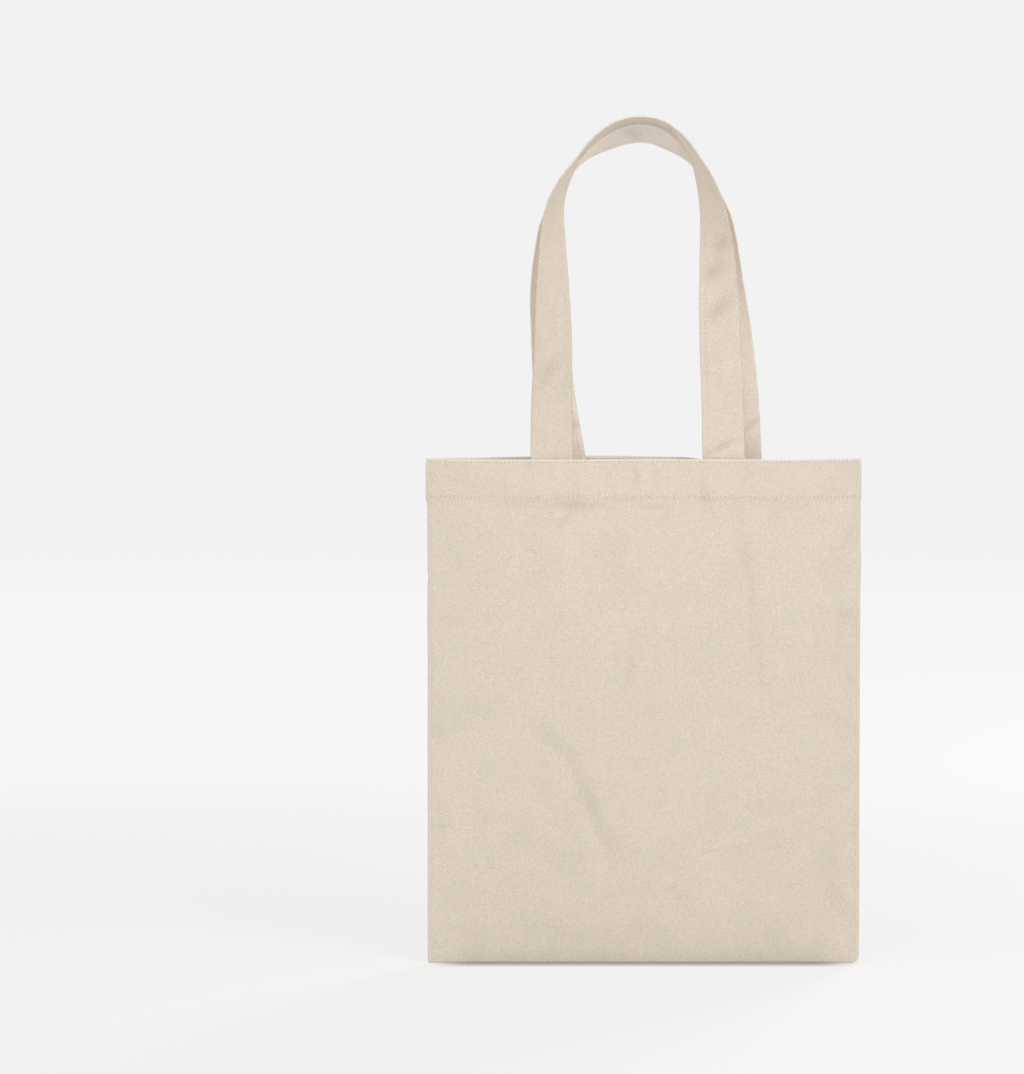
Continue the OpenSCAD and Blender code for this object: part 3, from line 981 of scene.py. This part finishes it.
def seam_line(hand, inset, step):
    """Points along a seam, that far in from its folded edge."""
    if hand:
        x = hand * (HALF_W - inset)
        return [Vector((x, 0, z)) for z in even(14 * MM, RIM_Z - 3 * MM, step)]
    return [Vector((x, 0, FOLD_Z + inset)) for x in even(-BOTTOM_HALF, BOTTOM_HALF, step)]


def seam_stitches(name, node, hand, seed):
    """The seam's own row of stitches, on both faces of the allowance."""
    rng = random.Random(seed)
    bm = bmesh.new()
    for sign in (-1, 1):
        out = Vector((0, sign, 0))
        track = [p + out * 0.74 * MM for p in seam_line(hand, SEAM_ROW_IN, 4 * MM)]
        stitch_row(bm, track, lambda k: out, rng, height=0.3 * MM)
    row = piece(name, bm, thread)
    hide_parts(node)
    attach(row, "base")


def overlock(name, node, hand, seed):
    """Slanted loops of thread over the raw edge, and the chain that locks them."""
    rng = random.Random(seed)
    bm = bmesh.new()
    raw = seam_line(hand, ALLOWANCE, 2.2 * MM)
    along = (raw[1] - raw[0]).normalized()
    # from the raw edge towards the folded one
    back = Vector((hand, 0, 0)) if hand else Vector((0, 0, -1))
    for sign in (-1, 1):
        out = Vector((0, sign, 0))
        for point in raw:
            lean = along * rng.uniform(0.25, 0.4)
            middle = point + back * 2.0 * MM + out * 0.78 * MM
            add_stitch(bm, middle, back + lean, out, 4.3 * MM, 0.42 * MM, 0.3 * MM)
        chain = [p + back * 4.0 * MM + out * 0.8 * MM for p in raw]
        stitch_row(bm, chain, lambda k: out, rng, pitch=2.2 * MM, width=0.5 * MM, height=0.3 * MM)
    for point in raw:
        add_stitch(bm, point - back * 0.12 * MM, Vector((0, 1, 0)) + along * 0.3, -back,
                   1.7 * MM, 0.45 * MM, 0.4 * MM)
    row = piece(name, bm, thread)
    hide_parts(node)
    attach(row, "base")


# ---- making the bag ----

for side in ("front", "back"):
    cloth = panel(side)
    rows = [hem_stitches(side, "hem", HEM_ROW_Z, 41), hem_stitches(side, "rim", RIM_ROW_Z, 43)]
    open_with(cloth, side)

for loop, seed in ((front_loop, 51), (back_loop, 57)):
    made = strap(loop, seed)
    row = strap_stitches(loop, seed)
    swing_with(made, loop)
    swing_with(row, loop)

for name, hand in (("bottom", 0), ("left", -1), ("right", 1)):
    node = "bottom_seam" if hand == 0 else f"{name}_side_seam"
    allowance(f"{node}_cloth", node, hand)
    seam_stitches(f"{name}_seam_stitches", f"{name}_seam_thread", hand, 61 + hand)
    overlock(f"{name}_overlock_loops", f"{name}_overlock", hand, 71 + hand)


# ---- floor, light and camera ----

FLOOR_R = 5.2       # the flat part
SWEEP_R = 1.2       # the curve up to the wall
WALL_TOP = 2.0


def backdrop_shape():
    """A round floor that sweeps up into a low wall all round."""
    turns = [math.radians(15 * k) for k in range(1, 7)]
    profile = [(r, 0) for r in even(0, FLOOR_R, 0.2)]
    profile += [(FLOOR_R + SWEEP_R * math.sin(t), SWEEP_R * (1 - math.cos(t))) for t in turns]
    profile.append((FLOOR_R + SWEEP_R, WALL_TOP))
    sheet = bmesh.new()
    points = [sheet.verts.new((r, 0, z)) for r, z in profile]
    edges = [sheet.edges.new(pair) for pair in zip(points, points[1:])]
    bmesh.ops.spin(sheet, geom=points + edges, axis=(0, 0, 1), cent=(0, 0, 0), angle=2 * math.pi, steps=72,
                   use_merge=True, use_normal_flip=False, use_duplicate=False)
    bmesh.ops.remove_doubles(sheet, verts=sheet.verts, dist=1e-5)
    bmesh.ops.recalc_face_normals(sheet, faces=sheet.faces)
    face_towards(sheet, (0, 0, 1))
    return sheet


def backdrop_finish():
    """Pale, with a glow of its own: strong far off, and weak under the bag, which so keeps its shadow; in a
    strip along the foot of the bag it is painted darker and glows least, a painted contact shadow.
    """
    f = Finish("pale_floor", roughness=0.9)
    x, y = f.across_and_up(f.node("ShaderNodeTexCoord", output=OBJECT))
    # painted shadow: a darker, weakly glowing strip along the foot of the bag
    painted_contact_shadow = f.span(y.size(), 3 * MM, 28 * MM, 1.0, 0.0) * f.span(x.size(), 150 * MM, 196 * MM, 1.0, 0.0)
    far = f.span(x * x + y * y, 0.3, 3.2)
    pale = f.blend(far, (0.25, 0.25, 0.25), (0.02, 0.02, 0.02))
    f.paint(f.blend(painted_contact_shadow, pale, (0.14, 0.14, 0.145)))
    glow = f.blend(far, (0.64, 0.64, 0.643), (0.866, 0.866, 0.867))
    f.fill(f.shader.inputs["Emission Color"], f.blend(painted_contact_shadow, glow, (0.26, 0.26, 0.27)))
    f.fill(f.shader.inputs["Emission Strength"], 1.0)
    return f.material


WARM = (1.0, 0.99, 0.97)
FAINT_WARM = (1.0, 0.995, 0.98)
# name, place, the height it aims at, width in metres, watts and colour of each lamp
LAMPS = [
    ("key", (1.1, -1.9, 2.4), 0.3, 1.1, 21, WARM),
    ("right_fill", (2.6, -2.2, 0.9), 0.4, 1.2, 15, FAINT_WARM),
    ("left_fill", (-3.1, -1.45, 1.0), 0.4, 1.2, 20, FAINT_WARM),
    ("back_fill", (1.4, 3.0, 1.5), 0.4, 1.2, 38, FAINT_WARM),
    ("top", (-0.2, -1.1, 1.75), 0.3, 0.9, 6.0, WARM),
]
SKY = 0.42          # even light from all round


def lamp(name, at, height, width, watts, colour):
    """A round lamp aimed at the bag."""
    data = bpy.data.lights.new(name, "AREA")
    data.shape = "DISK"
    data.size = width
    data.energy = watts
    data.color = colour
    obj = bpy.data.objects.new(name, data)
    way = Vector((0, 0, height)) - Vector(at)
    obj.matrix_world = Matrix.Translation(at) @ way.to_track_quat("-Z", "Y").to_matrix().to_4x4()
    bpy.context.scene.collection.objects.link(obj)


def sky():
    """Even white light from all round, shown as it is."""
    world = bpy.data.worlds.new("studio")
    world.use_nodes = True
    background = world.node_tree.nodes["Background"]
    background.inputs["Color"].default_value = (1, 1, 1, 1)
    background.inputs["Strength"].default_value = SKY
    bpy.context.scene.world = world
    bpy.context.scene.view_settings.view_transform = "Standard"


DISTANCE = 4.0                              # from the camera to the point it looks at
PITCH = math.radians(3)                     # how far it looks down
AIM = Vector((-0.1158, 0, 0.3761))
LENS_MM = 152.8
SENSOR_MM = 36


def camera():
    """Straight on, far off with a long lens, looking slightly down at a point left of the bag's middle."""
    data = bpy.data.cameras.new("camera")
    data.lens = LENS_MM
    data.sensor_width = SENSOR_MM
    obj = bpy.data.objects.new("camera", data)
    obj.location = AIM + DISTANCE * Vector((0, -math.cos(PITCH), math.sin(PITCH)))
    obj.rotation_euler = (math.pi / 2 - PITCH, 0, 0)
    bpy.context.scene.collection.objects.link(obj)
    bpy.context.scene.camera = obj


piece("floor", backdrop_shape(), backdrop_finish())
for settings in LAMPS:
    lamp(*settings)
sky()
camera()
